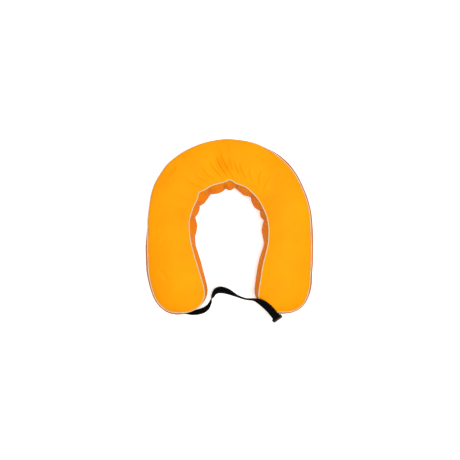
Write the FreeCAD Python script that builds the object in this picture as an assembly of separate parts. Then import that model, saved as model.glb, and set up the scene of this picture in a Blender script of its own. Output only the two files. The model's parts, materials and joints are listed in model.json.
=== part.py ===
"""Horseshoe-shaped foam buoyancy yoke with a 25 mm closing strap.

Frame: millimetres, +Z up, the yoke lies flat on its back panel at z = 0.
The opening between the two leg ends faces -Y and the crown faces +Y.
X = 0 is the plane of symmetry of the cover.
"""
import FreeCAD, Part
import math
import os

os.makedirs("parts", exist_ok=True)
V = FreeCAD.Vector

# ---------------------------------------------------------------- plan of the cover
CROWN_Y = 10.0          # centre of both crown arcs
OUTER_R = 278.0         # outer seam of the crown
INNER_R = 134.0         # inner seam of the crown
TIP_Y = -288.0          # seam across the end of each leg
OUTER_LEAN = 2.0        # degrees that a leg's outer edge leans inwards
INNER_LEAN = 10.5       # degrees that a leg's inner edge leans inwards
OUTER_CORNER = 100.0    # radius of a leg end's outer corner
INNER_CORNER = 62.0     # radius of a leg end's inner corner

# ---------------------------------------------------------------- section of the cover
BULGE = 13.0            # how far a gusset stands out from the seams
SKIN = 2.0              # coated fabric with its seam allowance
PANEL_SKIN = 2.5
FRONT_SEAM_Z = 94.0
BACK_SEAM_Z = 6.0
CROWN_RISE = 8.0        # the front panel's middle above its seam
HALF_GAP = 0.3          # from X = 0 to the cut face of each half
GUSSET_JOIN_X = 163.0   # sewn join between outer and inner gusset, on the leg's end wall

PIPING_R = 1.6
PIPING_OUT = 1.3        # piping centre outside the seam
SLAB_JOINTS = (35.0, 66.0)
SLAB_GAP = 0.2

# ---------------------------------------------------------------- strap and buckle
WEB_WIDTH = 25.0
WEB_THICK = 2.0
BAR_R = 1.8             # bar of the plug half that the strap turns round
WRAP_R = 3.1            # strap's middle layer round that bar
FREE_END_UNDER = 3.0    # between the middles of the strap's two layers
FREE_END_FROM = 20      # the standing part's points that it runs under, counted from its end
FREE_END_TO = 5
TAIL_BAR_R = 2.0
TAIL_WRAP_R = 3.4

BUCKLE_AT = V(157.0, -309.7, 89.0)   # middle of the strap bar
BUCKLE_YAW = 36.0       # degrees that the buckle turns away from -Y
BUCKLE_PITCH = 67.0     # degrees that it hangs below level
BUCKLE_HALF = 18.5
SOCKET_MOUTH = 13.6     # from the strap bar to the socket's mouth
SOCKET_END = 45.2       # from the strap bar to the tail's bar
PRONG_X = 12.5
PRONG_PIVOT = 14.9

END_WALL_Y = TIP_Y - BULGE
PATCH_THICK = 1.2

# Route of the tail from the right leg's end wall to the back of the socket's bar.
# Each row is x, distance out from the end wall, height and how far its width has turned.
TAIL_ROUTE = [
    (155.0, 1.35, 60.0, 0.0), (155.0, 1.35, 42.0, 0.0), (155.5, 3.0, 33.0, 0.04),
    (157.7, 6.8, 26.2, 0.18), (161.3, 11.6, 22.8, 0.36), (165.1, 17.3, 23.0, 0.52),
    (167.5, 21.8, 27.0, 0.65), (168.5, 24.2, 33.5, 0.72),
]
TAIL_RISE = 5.0         # from the socket's bar to where the tail starts its turn
TAIL_LAP = 9.0          # from the socket's bar to the tail's end

# Route of the strap from the left leg's end wall to the buckle.
# Each row is a point and the way its width points there.
STRAP_ROUTE = [
    ((-176.0, -302.5, 45.0), (0.0, 0.0, 1.0)),
    ((-154.0, -302.9, 45.0), (0.0, 0.0, 1.0)),
    ((-138.0, -304.3, 44.0), (0.0, -0.28, 0.96)),
    ((-123.0, -303.4, 42.0), (0.08, -0.5, 0.86)),
    ((-108.0, -301.2, 39.0), (0.15, -0.6, 0.78)),
    ((-93.0, -296.5, 35.5), (0.27, -0.58, 0.76)),
    ((-80.5, -288.0, 32.0), (0.38, -0.43, 0.82)),
    ((-73.0, -276.5, 28.5), (0.2, -0.1, 0.97)),
    ((-67.5, -264.0, 26.5), (0.03, 0.0, 1.0)),
    ((-62.5, -252.0, 26.0), (-0.15, 0.08, 0.98)),
    ((-57.0, -240.5, 26.5), (-0.5, 0.3, 0.81)),
    ((-48.0, -230.0, 28.5), (-0.5, 0.75, 0.4)),
    ((-36.5, -225.2, 32.5), (-0.2, 0.97, 0.1)),
    ((-24.0, -224.8, 38.0), (0.0, 0.98, 0.2)),
    ((-9.5, -227.0, 45.5), (0.15, 0.9, 0.4)),
    ((5.0, -231.3, 55.0), (0.2, 0.72, 0.66)),
    ((18.0, -236.0, 64.0), (0.1, 0.46, 0.88)),
    ((30.0, -240.5, 73.0), (0.03, 0.25, 0.96)),
    ((43.5, -244.0, 84.0), (0.0, 0.12, 0.99)),
    ((57.5, -245.5, 95.0), (0.0, 0.1, 0.99)),
    ((71.5, -244.6, 104.0), (0.0, 0.2, 0.98)),
    ((84.0, -245.0, 108.5), (0.1, 0.5, 0.86)),
    ((97.0, -249.0, 109.5), (0.3, 0.75, 0.6)),
    ((109.0, -256.5, 107.2), (0.52, 0.75, 0.4)),
    ((121.0, -266.0, 104.8), (0.64, 0.76, 0.1)),
    ((132.0, -276.5, 103.6), (0.68, 0.73, 0.0)),
    ((142.0, -288.0, 103.0), (0.71, 0.7, 0.0)),
    ((150.3, -299.0, 101.8), (0.76, 0.65, 0.0)),
    ((156.4, -308.9, 98.5), (0.809, 0.588, 0.0)),
]


# ================================================================ helpers
def unit(v):
    return v * (1.0 / v.Length)


def fillet_points(before, corner, after, radius):
    """Start, middle and end of an arc of this radius in a plane corner."""
    back = unit(before - corner)
    ahead = unit(after - corner)
    half = math.acos(max(-1.0, min(1.0, back.dot(ahead)))) / 2
    reach = radius / math.tan(half)
    centre = corner + unit(back + ahead) * (radius / math.sin(half))
    middle = centre + unit(corner - centre) * radius
    return corner + back * reach, middle, corner + ahead * reach


def outline(out, z):
    """The yoke's closed plan outline, offset outwards by `out`, at height z."""
    outer_r = OUTER_R + out
    inner_r = INNER_R - out
    end_y = TIP_Y - out
    lean_o = math.radians(OUTER_LEAN)
    lean_i = math.radians(INNER_LEAN)
    outer_tan = V(outer_r * math.cos(lean_o), CROWN_Y - outer_r * math.sin(lean_o), z)
    inner_tan = V(inner_r * math.cos(lean_i), CROWN_Y - inner_r * math.sin(lean_i), z)
    outer_foot = V(outer_tan.x - math.tan(lean_o) * (outer_tan.y - end_y), end_y, z)
    inner_foot = V(inner_tan.x - math.tan(lean_i) * (inner_tan.y - end_y), end_y, z)
    o1, om, o2 = fillet_points(outer_tan, outer_foot, inner_foot, OUTER_CORNER + out)
    i1, im, i2 = fillet_points(outer_foot, inner_foot, inner_tan, INNER_CORNER + out)

    def mirror(p):
        return V(-p.x, p.y, p.z)

    def arc(a, b, c):
        return Part.Arc(a, b, c).toShape()

    def line(a, b):
        return Part.LineSegment(a, b).toShape()

    edges = [
        arc(mirror(outer_tan), V(0, CROWN_Y + outer_r, z), outer_tan),
        line(outer_tan, o1),
        arc(o1, om, o2),
        line(o2, i1),
        arc(i1, im, i2),
        line(i2, inner_tan),
        arc(inner_tan, V(0, CROWN_Y + inner_r, z), mirror(inner_tan)),
        line(mirror(inner_tan), mirror(i2)),
        arc(mirror(i2), mirror(im), mirror(i1)),
        line(mirror(i1), mirror(o2)),
        arc(mirror(o2), mirror(om), mirror(o1)),
        line(mirror(o1), mirror(outer_tan)),
    ]
    return Part.Wire(edges)


def stack(levels):
    """A closed solid through outlines given as (height, offset) pairs."""
    return Part.makeLoft([outline(out, z) for z, out in levels], True, True)


def block(x0, x1, y0, y1, z0, z1):
    return Part.makeBox(x1 - x0, y1 - y0, z1 - z0, V(x0, y0, z0))


def one_half(shape, side):
    """The part of a shape on one side of X = 0, clear of it by HALF_GAP."""
    reach = 400.0
    if side == "right":
        keep = block(HALF_GAP, reach, -reach, reach, -5.0, 150.0)
    else:
        keep = block(-reach, -HALF_GAP, -reach, reach, -5.0, 150.0)
    return shape.common(keep)


def save(node, shape):
    solids = shape.Solids
    made = solids[0] if len(solids) == 1 else Part.makeCompound(solids)
    if not made.isValid():
        print("NOT VALID", node)
    made.exportStep("parts/" + node + ".step")
    box = made.BoundBox
    print("%-22s %2d solid(s) %9.0f mm3  x %7.1f %7.1f  y %7.1f %7.1f  z %6.1f %6.1f" % (
        node, len(solids), made.Volume, box.XMin, box.XMax, box.YMin, box.YMax,
        box.ZMin, box.ZMax))


def save_halves(name, shape):
    for side in ("left", "right"):
        save(name + "_" + side, one_half(shape, side))


# ================================================================ cover and foam
GUSSET_LEVELS = [
    (BACK_SEAM_Z, 0.0), (20.0, 8.0), (38.0, BULGE),
    (62.0, BULGE), (80.0, 8.0), (FRONT_SEAM_Z, 0.0),
]


def make_gussets():
    """Side walls that bulge between the two seams, split into outer and inner strips."""
    outside = stack(GUSSET_LEVELS)
    inside = [(z, out - SKIN) for z, out in GUSSET_LEVELS]
    inside[0] = (BACK_SEAM_Z - 1.0, inside[0][1])
    inside[-1] = (FRONT_SEAM_Z + 1.0, inside[-1][1])
    ring = outside.cut(stack(inside))
    middle_r = (OUTER_R + INNER_R) / 2
    zone = Part.makeCylinder(middle_r, 200.0, V(0, CROWN_Y, -50.0))
    legs = block(-GUSSET_JOIN_X, GUSSET_JOIN_X, -400.0, CROWN_Y, -50.0, 150.0)
    zone = zone.fuse(legs)
    save_halves("inner_gusset", ring.common(zone))
    save_halves("outer_gusset", ring.cut(zone))


def make_panels():
    """Crowned front panel and nearly flat back panel."""
    def front(drop):
        z = FRONT_SEAM_Z - drop
        return stack([(z, -0.3), (z + CROWN_RISE / 2, -10.0), (z + CROWN_RISE, -34.0)])

    def back(lift):
        return stack([(lift, -14.0), (BACK_SEAM_Z + lift, -0.3)])

    save_halves("front_panel", front(0.0).cut(front(PANEL_SKIN)))
    save_halves("back_panel", back(0.0).cut(back(PANEL_SKIN)))


def make_piping(name, z):
    """Covered cord sewn into a seam all round the outline."""
    path = outline(PIPING_OUT, z)
    start = path.Edges[0]
    at = start.valueAt(start.FirstParameter)
    along = start.tangentAt(start.FirstParameter)
    section = Part.Wire([Part.Circle(at, along, PIPING_R).toShape()])
    cord = path.makePipeShell([section], True, False)
    save_halves(name, cord)


def make_foam():
    """Three flotation slabs that fill the cover, cut level with each other."""
    core = stack([
        (3.2, -18.0), (7.5, -5.0), (20.0, 5.0), (38.0, 10.0),
        (62.0, 10.0), (80.0, 5.0), (91.0, -4.0), (94.5, -14.0), (98.5, -37.0),
    ])
    low, high = SLAB_JOINTS
    cuts = [("foam_back", 0.0, low - SLAB_GAP), ("foam_middle", low, high - SLAB_GAP),
            ("foam_front", high, 120.0)]
    for name, z0, z1 in cuts:
        save_halves(name, core.common(block(-400, 400, -400, 400, z0, z1)))


# ================================================================ webbing
def rounded_route(route):
    """Straight runs joined by tangent arcs, as points with width directions.

    Each arc's radius is 0.45 of the shorter run over the tangent of half the turn.
    """
    points = [V(*p) for p, _ in route]
    widths = [unit(V(*w)) for _, w in route]
    samples = [(points[0], widths[0])]
    radii = []
    length = 0.0
    for i in range(1, len(points) - 1):
        back = points[i] - points[i - 1]
        ahead = points[i + 1] - points[i]
        turn = back.getAngle(ahead)
        reach = 0.45 * min(back.Length, ahead.Length)
        radii.append(reach / math.tan(turn / 2))
        start = points[i] - unit(back) * reach
        end = points[i] + unit(ahead) * reach
        w_start = widths[i] + (widths[i - 1] - widths[i]) * (reach / back.Length)
        w_end = widths[i] + (widths[i + 1] - widths[i]) * (reach / ahead.Length)
        for t in (0.0, 0.25, 0.5, 0.75, 1.0):
            p = start * (1 - t) ** 2 + points[i] * (2 * t * (1 - t)) + end * t ** 2
            if t < 0.5:
                w = w_start + (widths[i] - w_start) * (2 * t)
            else:
                w = widths[i] + (w_end - widths[i]) * (2 * t - 1)
            samples.append((p, w))
    samples.append((points[-1], widths[-1]))
    for (a, _), (b, _) in zip(samples, samples[1:]):
        length += (b - a).Length
    return samples, radii, length


def ribbon(samples, width, thick):
    """A flat strip of webbing through points, each with its width direction."""
    rings = []
    last = len(samples) - 1
    for i, (p, w) in enumerate(samples):
        ahead = samples[min(i + 1, last)][0] - samples[max(i - 1, 0)][0]
        along = unit(ahead)
        across = unit(w - along * w.dot(along))
        up = across.cross(along)
        half_w = across * (width / 2)
        half_t = up * (thick / 2)
        rings.append([p - half_w - half_t, p + half_w - half_t,
                      p + half_w + half_t, p - half_w + half_t])
    faces = []

    def triangle(a, b, c):
        faces.append(Part.Face(Part.makePolygon([a, b, c, a])))

    for ring, after in zip(rings, rings[1:]):
        for k in range(4):
            m = (k + 1) % 4
            triangle(ring[k], ring[m], after[m])
            triangle(ring[k], after[m], after[k])
    for ring in (rings[0], rings[-1]):
        triangle(ring[0], ring[1], ring[2])
        triangle(ring[0], ring[2], ring[3])
    shell = Part.makeShell(faces)
    shell.sewShape()
    solid = Part.makeSolid(shell)
    if solid.Volume < 0:
        solid.reverse()
    return solid


# ================================================================ buckle
def buckle_axes():
    """Width, outward and lengthwise directions of the hanging buckle."""
    yaw = math.radians(BUCKLE_YAW)
    pitch = math.radians(BUCKLE_PITCH)
    level = V(math.sin(yaw), -math.cos(yaw), 0)
    length = level * math.cos(pitch) + V(0, 0, -math.sin(pitch))
    outward = level * math.sin(pitch) + V(0, 0, math.cos(pitch))
    width = V(math.cos(yaw), math.sin(yaw), 0)
    return width, outward, length


def buckle_point(x, y, z):
    """A point given along the buckle's width, outward and lengthwise directions."""
    width, outward, length = buckle_axes()
    return BUCKLE_AT + width * x + outward * y + length * z


def place_on_buckle(shape):
    """Move a shape drawn about the strap bar to where the buckle hangs."""
    w, o, d = buckle_axes()
    at = BUCKLE_AT
    matrix = FreeCAD.Matrix(w.x, o.x, d.x, at.x, w.y, o.y, d.y, at.y, w.z, o.z, d.z, at.z,
                            0, 0, 0, 1)
    moved = shape.copy()
    moved.Placement = FreeCAD.Placement(matrix)
    return moved


def upright_edges(shape, radius, direction):
    """Round the edges of a block that run along one direction."""
    edges = []
    for edge in shape.Edges:
        way = edge.tangentAt(edge.FirstParameter)
        if abs(way.dot(direction)) > 0.99:
            edges.append(edge)
    return shape.makeFillet(radius, edges)


def bar(radius, z, half_length):
    return Part.makeCylinder(radius, 2 * half_length, V(-half_length, 0, z), V(1, 0, 0))


def make_male_frame():
    """Plug half: strap bar, two rails, a base and a centre guide tongue."""
    inner = WEB_WIDTH / 2 + 1.0
    half = BUCKLE_HALF - 0.5
    body = bar(BAR_R, 0.0, half - 1.0)
    for side in (-1, 1):
        x0, x1 = sorted((side * inner, side * half))
        rail = block(x0, x1, -2.3, 2.3, -BAR_R, 9.0)
        body = body.fuse(upright_edges(rail, 1.2, V(0, 0, 1)))
    base = upright_edges(block(-half, half, -4.2, 4.2, 7.5, SOCKET_MOUTH - 0.6), 2.0, V(0, 0, 1))
    tongue = upright_edges(block(-3.5, 3.5, -2.2, 2.2, 10.0, 33.0), 1.0, V(0, 0, 1))
    save("buckle_male_frame", place_on_buckle(body.fuse(base).fuse(tongue).removeSplitter()))


def make_prong(name, side):
    """Springy arm with a press ear that looks out through the socket's window."""
    profile = [(11.0, PRONG_PIVOT), (14.0, PRONG_PIVOT), (14.3, 24.6), (17.8, 27.0),
               (18.6, 29.0), (18.6, 30.6), (15.6, 33.0), (12.8, 35.4), (11.2, 33.8)]
    points = [V(side * x, -2.6, z) for x, z in profile]
    face = Part.Face(Part.makePolygon(points + [points[0]]))
    arm = face.extrude(V(0, 5.2, 0))
    root = Part.makeCylinder(1.5, 5.2, V(side * PRONG_X, -2.6, PRONG_PIVOT), V(0, 1, 0))
    save(name, place_on_buckle(arm.fuse(root).removeSplitter()))


def make_socket():
    """Socket half: flat tube open at the mouth, side windows and a tail bar."""
    half = BUCKLE_HALF
    shell = upright_edges(block(-half, half, -5.8, 5.8, SOCKET_MOUTH, 37.5), 3.5, V(0, 0, 1))
    cavity = block(-16.3, 16.3, -3.2, 3.2, SOCKET_MOUTH - 1.0, 36.6)
    window = block(-half - 1, half + 1, -3.2, 3.2, 24.2, 33.4)
    body = shell.cut(cavity).cut(window)
    inner = WEB_WIDTH / 2 + 1.0
    for side in (-1, 1):
        x0, x1 = sorted((side * inner, side * (half - 1.0)))
        rail = block(x0, x1, -2.6, 2.6, 36.8, SOCKET_END + TAIL_BAR_R)
        body = body.fuse(upright_edges(rail, 1.2, V(0, 0, 1)))
    body = body.fuse(bar(TAIL_BAR_R, SOCKET_END, half - 2.0))
    save("buckle_female", place_on_buckle(body.removeSplitter()))


# ================================================================ strap
def wrap_points(bar_z, radius, start, end, steps):
    """Points round a bar of the buckle; 0 degrees is outwards, 90 is along its length."""
    width, _, _ = buckle_axes()
    found = []
    for k in range(steps + 1):
        a = math.radians(start + (end - start) * k / steps)
        found.append((buckle_point(0, radius * math.cos(a), bar_z + radius * math.sin(a)), width))
    return found


def make_strap():
    """Standing part of the strap, from the left leg to the plug half's bar."""
    width = buckle_axes()[0]
    end = buckle_point(0, WRAP_R, 0)
    route = STRAP_ROUTE + [((end.x, end.y, end.z), (width.x, width.y, width.z))]
    samples, radii, length = rounded_route(route)
    strap = ribbon(samples, WEB_WIDTH, WEB_THICK)
    save("strap_webbing", strap)
    print("strap radii", " ".join("%.0f" % r for r in radii))
    print("strap length %.0f mm, volume over section %.0f mm" % (
        length, strap.Volume / (WEB_WIDTH * WEB_THICK)))
    return samples


def make_free_end(standing):
    """The strap's last stretch: round the bar and back under the standing part."""
    width = buckle_axes()[0]
    samples = [(buckle_point(0, WRAP_R, z), width) for z in (0.0, 0.4)]
    samples += wrap_points(0.0, WRAP_R, 20.0, 180.0, 8)
    count = len(standing)
    for i in range(count - FREE_END_TO, count - FREE_END_FROM, -1):
        point, across = standing[i]
        along = unit(standing[i + 1][0] - standing[i - 1][0])
        up = unit(along.cross(across))
        if up.z < 0:
            up = -up
        samples.append((point - up * FREE_END_UNDER, across))
    save("strap_free_end", ribbon(samples, WEB_WIDTH, WEB_THICK))


def make_tail():
    """Short webbing from the right leg's end wall to the socket's bar."""
    samples = [(V(x, END_WALL_Y - out, z), V(1, turn, 0)) for x, out, z, turn in TAIL_ROUTE]
    width = buckle_axes()[0]
    samples.append((buckle_point(0, -TAIL_WRAP_R, SOCKET_END + TAIL_RISE), width))
    samples += wrap_points(SOCKET_END, TAIL_WRAP_R, -180.0, 0.0, 8)
    samples.append((buckle_point(0, TAIL_WRAP_R, SOCKET_END + TAIL_LAP), width))
    save("buckle_tail", ribbon(samples, WEB_WIDTH, WEB_THICK))


def make_patch(name, middle_x, half_x, low, high, gap):
    """A reinforcing patch over webbing that is sewn to a leg's end wall."""
    face = END_WALL_Y - WEB_THICK - gap
    save(name, block(middle_x - half_x, middle_x + half_x, face - PATCH_THICK, face, low, high))


make_gussets()
make_panels()
make_piping("front_piping", FRONT_SEAM_Z + PIPING_OUT)
make_piping("back_piping", BACK_SEAM_Z - PIPING_OUT)
make_foam()
make_male_frame()
make_prong("buckle_prong_left", -1)
make_prong("buckle_prong_right", 1)
make_socket()
make_free_end(make_strap())
make_tail()
make_patch("strap_anchor_patch", -171.0, 13.0, 30.0, 60.0, 1.5)
make_patch("tail_anchor_patch", 155.0, 14.0, 44.0, 64.0, 0.7)
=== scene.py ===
import json
import math

import bpy
import numpy as np
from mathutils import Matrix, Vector, noise
from mathutils.geometry import delaunay_2d_cdt


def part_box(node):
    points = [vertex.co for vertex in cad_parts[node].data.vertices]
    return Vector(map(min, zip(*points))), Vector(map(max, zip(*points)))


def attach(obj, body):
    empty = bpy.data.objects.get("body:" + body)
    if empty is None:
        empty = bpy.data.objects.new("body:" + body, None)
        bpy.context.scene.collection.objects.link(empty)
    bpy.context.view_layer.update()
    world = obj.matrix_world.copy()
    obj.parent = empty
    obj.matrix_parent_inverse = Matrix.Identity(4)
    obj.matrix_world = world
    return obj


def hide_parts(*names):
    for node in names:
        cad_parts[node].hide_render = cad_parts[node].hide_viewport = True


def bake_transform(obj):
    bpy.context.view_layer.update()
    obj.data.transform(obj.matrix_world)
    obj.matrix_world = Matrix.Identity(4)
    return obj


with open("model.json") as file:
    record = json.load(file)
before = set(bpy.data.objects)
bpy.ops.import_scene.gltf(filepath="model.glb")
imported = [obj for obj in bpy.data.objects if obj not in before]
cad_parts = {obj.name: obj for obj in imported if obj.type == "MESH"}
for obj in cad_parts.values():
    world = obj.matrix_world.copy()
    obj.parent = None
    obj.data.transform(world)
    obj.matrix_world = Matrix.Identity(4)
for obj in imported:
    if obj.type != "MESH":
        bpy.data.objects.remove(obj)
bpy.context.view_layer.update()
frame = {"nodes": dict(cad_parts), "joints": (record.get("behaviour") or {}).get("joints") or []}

# Everything is in metres, in the frame's own axes: the yoke lies flat with its crown towards +Y.

# ---------------------------------------------------------------- plan of the cover
CROWN = np.array((0.0, 0.010))      # centre of both crown arcs
OUTER_R = 0.278                     # outer seam of the crown
INNER_R = 0.134                     # inner seam of the crown
TIP_Y = -0.288                      # seam across the end of each leg
OUTER_LEAN = math.radians(2.0)      # how far the legs' outer edges lean in
INNER_LEAN = math.radians(10.5)     # how far the legs' inner edges lean in
OUTER_CORNER = 0.100
INNER_CORNER = 0.062
JOIN_X = 0.163                      # where outer and inner gusset meet on a leg's end wall

END_WALL_Y = TIP_Y - 0.0134         # a leg's end wall, where the patches are sewn on

FRONT_Z = 0.094                     # height of the front seam
BACK_Z = 0.006                      # height of the back seam
TOP_Z = 0.1005                      # front panel where it leaves its rolled edge

# Places where stuffing pushes the outline out (+) or pulls it in (-):
# plan place, reach and push.
OUTER_PUSHES = [
    ((-0.204, 0.200), 0.032, 0.007), ((-0.250, 0.140), 0.030, 0.005),
    ((-0.110, 0.266), 0.045, 0.003), ((0.118, 0.258), 0.026, 0.001),
    ((-0.014, 0.288), 0.018, 0.002),
    ((0.250, 0.125), 0.060, -0.006), ((0.277, 0.030), 0.060, -0.004),
    ((-0.165, 0.235), 0.035, 0.003), ((-0.165, -0.285), 0.040, 0.002),
    ((0.277, -0.095), 0.045, 0.002), ((0.225, -0.272), 0.035, 0.010),
    ((-0.276, 0.045), 0.040, -0.004), ((-0.281, -0.085), 0.035, 0.004),
    ((-0.268, -0.155), 0.026, 0.004), ((-0.262, -0.215), 0.036, -0.005),
    ((-0.205, -0.285), 0.034, 0.006),
]
# The same for the inner edge: both seams, then the front seam alone.
INNER_PUSHES = [
    ((0.088, 0.112), 0.045, 0.005), ((0.122, 0.060), 0.045, 0.008),
    ((0.131, -0.010), 0.050, 0.002), ((0.124, -0.060), 0.040, -0.008),
    ((-0.126, -0.055), 0.045, -0.007), ((-0.093, -0.222), 0.045, 0.008),
]
KINKS = [
    ((0.0, 0.144), 0.009, -0.010), ((-0.045, 0.136), 0.030, -0.003),
    ((-0.097, 0.105), 0.010, -0.011), ((-0.068, 0.122), 0.018, -0.003),
    ((0.100, -0.200), 0.045, -0.004),
    ((0.055, 0.132), 0.012, -0.002),
]
FRONT_INSET = 0.0035                # front seam's outer edge, in from the back seam
OUTER_DROP = 0.0070                 # front seam's outer edge, below its inner edge
# Tucks of the gathered side wall: angle round the crown's centre in degrees, how far the
# back seam stands out there, and how far the lobe up to the next tuck stands out.
TUCKS = [
    (-25, 0.0060, 0.0135), (5, 0.0015, 0.0095), (21, 0.0015, 0.0150), (49, 0.0025, 0.0140),
    (81, 0.0010, 0.0130), (97, 0.0045, 0.0145), (123, 0.0070, 0.0120), (150, 0.0070, 0.0100),
    (171, 0.0060, 0.0150), (202, 0.0060, 0.0),
]
TUCK_SLANT = 3.0                    # degrees that a tuck leans between its two seams
TUCK_DEPTH = 0.0035                 # how far a tuck's groove goes in past the lobes' feet
TUCK_WIDTH = 2.0                    # degrees from a groove's middle to its side


def smooth(x, low, high):
    """0 below low, 1 above high, and a smooth step between."""
    t = np.clip((np.asarray(x, float) - low) / (high - low), 0.0, 1.0)
    return t * t * (3 - 2 * t)


def wander(x, seed, scale):
    """Smooth one-dimensional noise between about -1 and 1."""
    return noise.noise(Vector((x * scale, seed * 7.31, 0.37))) * 1.6


# ================================================================ plan outline
def direction(angle):
    return np.array((math.cos(angle), math.sin(angle)))


def arc(centre, radius, start, end, step, kind, sign=1.0):
    """Points along an arc with outward normals; the last point belongs to the next segment."""
    count = max(2, round(abs(end - start) * radius / step))
    out = []
    for i in range(count):
        d = direction(start + (end - start) * i / count)
        out.append((centre + d * radius, d * sign, kind))
    return out


def run(start, end, normal, step, kind):
    """Points along a straight stretch; the last point belongs to the next segment."""
    count = max(2, round(np.linalg.norm(end - start) / step))
    return [(start + (end - start) * i / count, normal, kind) for i in range(count)]


def make_outline(step, fine_step):
    """The closed seam line, clockwise from the crown's left foot: places, normals and kinds."""
    outer_end = np.array((0.0, TIP_Y + OUTER_CORNER))
    outer_end[0] = (OUTER_R - OUTER_CORNER + (outer_end[1] - CROWN[1]) * math.sin(OUTER_LEAN))
    outer_end[0] /= math.cos(OUTER_LEAN)
    inner_end = np.array((0.0, TIP_Y + INNER_CORNER))
    inner_end[0] = (INNER_R + INNER_CORNER + (inner_end[1] - CROWN[1]) * math.sin(INNER_LEAN))
    inner_end[0] /= math.cos(INNER_LEAN)
    out_dir = direction(-OUTER_LEAN)
    in_dir = direction(-INNER_LEAN)
    leg = [
        (run, CROWN + out_dir * OUTER_R, outer_end + out_dir * OUTER_CORNER, out_dir, "outer"),
        (arc, outer_end, OUTER_CORNER, -OUTER_LEAN, -math.pi / 2, "outer"),
        (run, outer_end + (0, -OUTER_CORNER), inner_end + (0, -INNER_CORNER),
         np.array((0.0, -1.0)), "outer"),
        (arc, inner_end, INNER_CORNER, -math.pi / 2, -math.pi - INNER_LEAN, "inner"),
        (run, inner_end - in_dir * INNER_CORNER, CROWN + in_dir * INNER_R, -in_dir, "inner"),
    ]

    def walk(parts):
        found = []
        for part in parts:
            if part[0] is run:
                found += run(part[1], part[2], part[3], step, part[4])
            else:
                found += arc(part[1], part[2], part[3], part[4], step, part[5])
        return found

    right = walk(leg)
    crown_outer = arc(CROWN, OUTER_R, math.pi + OUTER_LEAN, -OUTER_LEAN, step, "outer")
    crown_inner = arc(CROWN, INNER_R, -INNER_LEAN, math.pi + INNER_LEAN, fine_step, "inner",
                      -1.0)
    mirror = np.array((-1.0, 1.0))
    closing = (CROWN + in_dir * INNER_R, -in_dir, "inner")
    left = [(p * mirror, n * mirror, k) for p, n, k in reversed(right[1:] + [closing])]
    stations = crown_outer + right + crown_inner + left
    places = np.array([s[0] for s in stations])
    normals = np.array([s[1] for s in stations])
    inner = np.array([s[2] == "inner" for s in stations])
    flat = np.abs(places[:, 1] - TIP_Y) < 1e-6
    inner = np.where(flat, np.abs(places[:, 0]) < JOIN_X, inner)
    return places, normals, inner


def pushed(places, normals, sets):
    """The outline with its bulges and hollows, and its new outward normals."""
    moved = places.copy()
    for pushes, mask in sets:
        for centre, reach, push in pushes:
            away = np.linalg.norm(places - centre, axis=1)
            moved += normals * (push * mask * np.exp(-0.5 * (away / reach) ** 2))[:, None]
    run_along = np.roll(moved, -1, axis=0) - np.roll(moved, 1, axis=0)
    run_along /= np.linalg.norm(run_along, axis=1)[:, None]
    turned = np.stack((-run_along[:, 1], run_along[:, 0]), axis=1)
    for _ in range(2):
        turned = (np.roll(turned, 1, axis=0) + 2 * turned + np.roll(turned, -1, axis=0)) / 4
    turned /= np.linalg.norm(turned, axis=1)[:, None]
    return moved, turned


# ================================================================ mesh helpers
def new_piece(name, points, faces, material, smooth_shade=True):
    """A mesh object in the scene."""
    mesh = bpy.data.meshes.new(name)
    mesh.from_pydata([tuple(p) for p in points], [], [tuple(f) for f in faces])
    mesh.validate()
    mesh.update()
    obj = bpy.data.objects.new(name, mesh)
    bpy.context.scene.collection.objects.link(obj)
    if material is not None:
        mesh.materials.append(material)
    mesh.polygons.foreach_set("use_smooth", [smooth_shade] * len(mesh.polygons))
    return obj


def inside_loop(points, loop):
    """Whether each plan point is inside a closed loop."""
    result = np.zeros(len(points), bool)
    x, y = points[:, 0], points[:, 1]
    for (x0, y0), (x1, y1) in zip(loop, np.roll(loop, -1, axis=0)):
        if y0 == y1:
            continue
        crosses = (y0 > y) != (y1 > y)
        result ^= crosses & (x < (x1 - x0) * (y - y0) / (y1 - y0) + x0)
    return result


def distance_to_loop(points, loop):
    """Distance from each plan point to the nearest vertex of a closely spaced loop."""
    best = np.full(len(points), 1e9)
    for start in range(0, len(loop), 64):
        part = loop[start:start + 64]
        away = np.linalg.norm(points[:, None, :] - part[None, :, :], axis=2)
        best = np.minimum(best, away.min(axis=1))
    return best


def fill_loop(loop, spacing):
    """Triangles that fill a closed plan loop: all plan points, loop first, and triangles."""
    low, high = loop.min(axis=0), loop.max(axis=0)
    rows = np.arange(low[1], high[1], spacing * math.sqrt(3) / 2)
    grid = []
    for i, y in enumerate(rows):
        xs = np.arange(low[0] + spacing * (i % 2) / 2, high[0], spacing)
        grid.append(np.stack((xs, np.full(len(xs), y)), axis=1))
    grid = np.concatenate(grid)
    grid = grid[inside_loop(grid, loop)]
    grid = grid[distance_to_loop(grid, loop) > spacing * 0.62]
    points = np.concatenate((loop, grid))
    count = len(loop)
    edges = [(i, (i + 1) % count) for i in range(count)]
    found = delaunay_2d_cdt([Vector(p) for p in points], edges, [], 1, 1e-7)
    origin = {}
    for i, sources in enumerate(found[3]):
        if sources:
            origin[i] = sources[0]
    triangles = [tuple(origin[i] for i in f) for f in found[2] if all(i in origin for i in f)]
    if len(found[0]) != len(points):
        print("fill_loop: points", len(points), "made", len(found[0]))
    return points, triangles


def facing(points, triangles, up):
    """Triangles turned to face up or down."""
    out = []
    for a, b, c in triangles:
        pa, pb, pc = points[a], points[b], points[c]
        area = (pb[0] - pa[0]) * (pc[1] - pa[1]) - (pb[1] - pa[1]) * (pc[0] - pa[0])
        out.append((a, b, c) if (area > 0) == up else (a, c, b))
    return out


TOP_BAND, BOTTOM_BAND = -1, 99      # what closed_pillow calls its two fills


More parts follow.
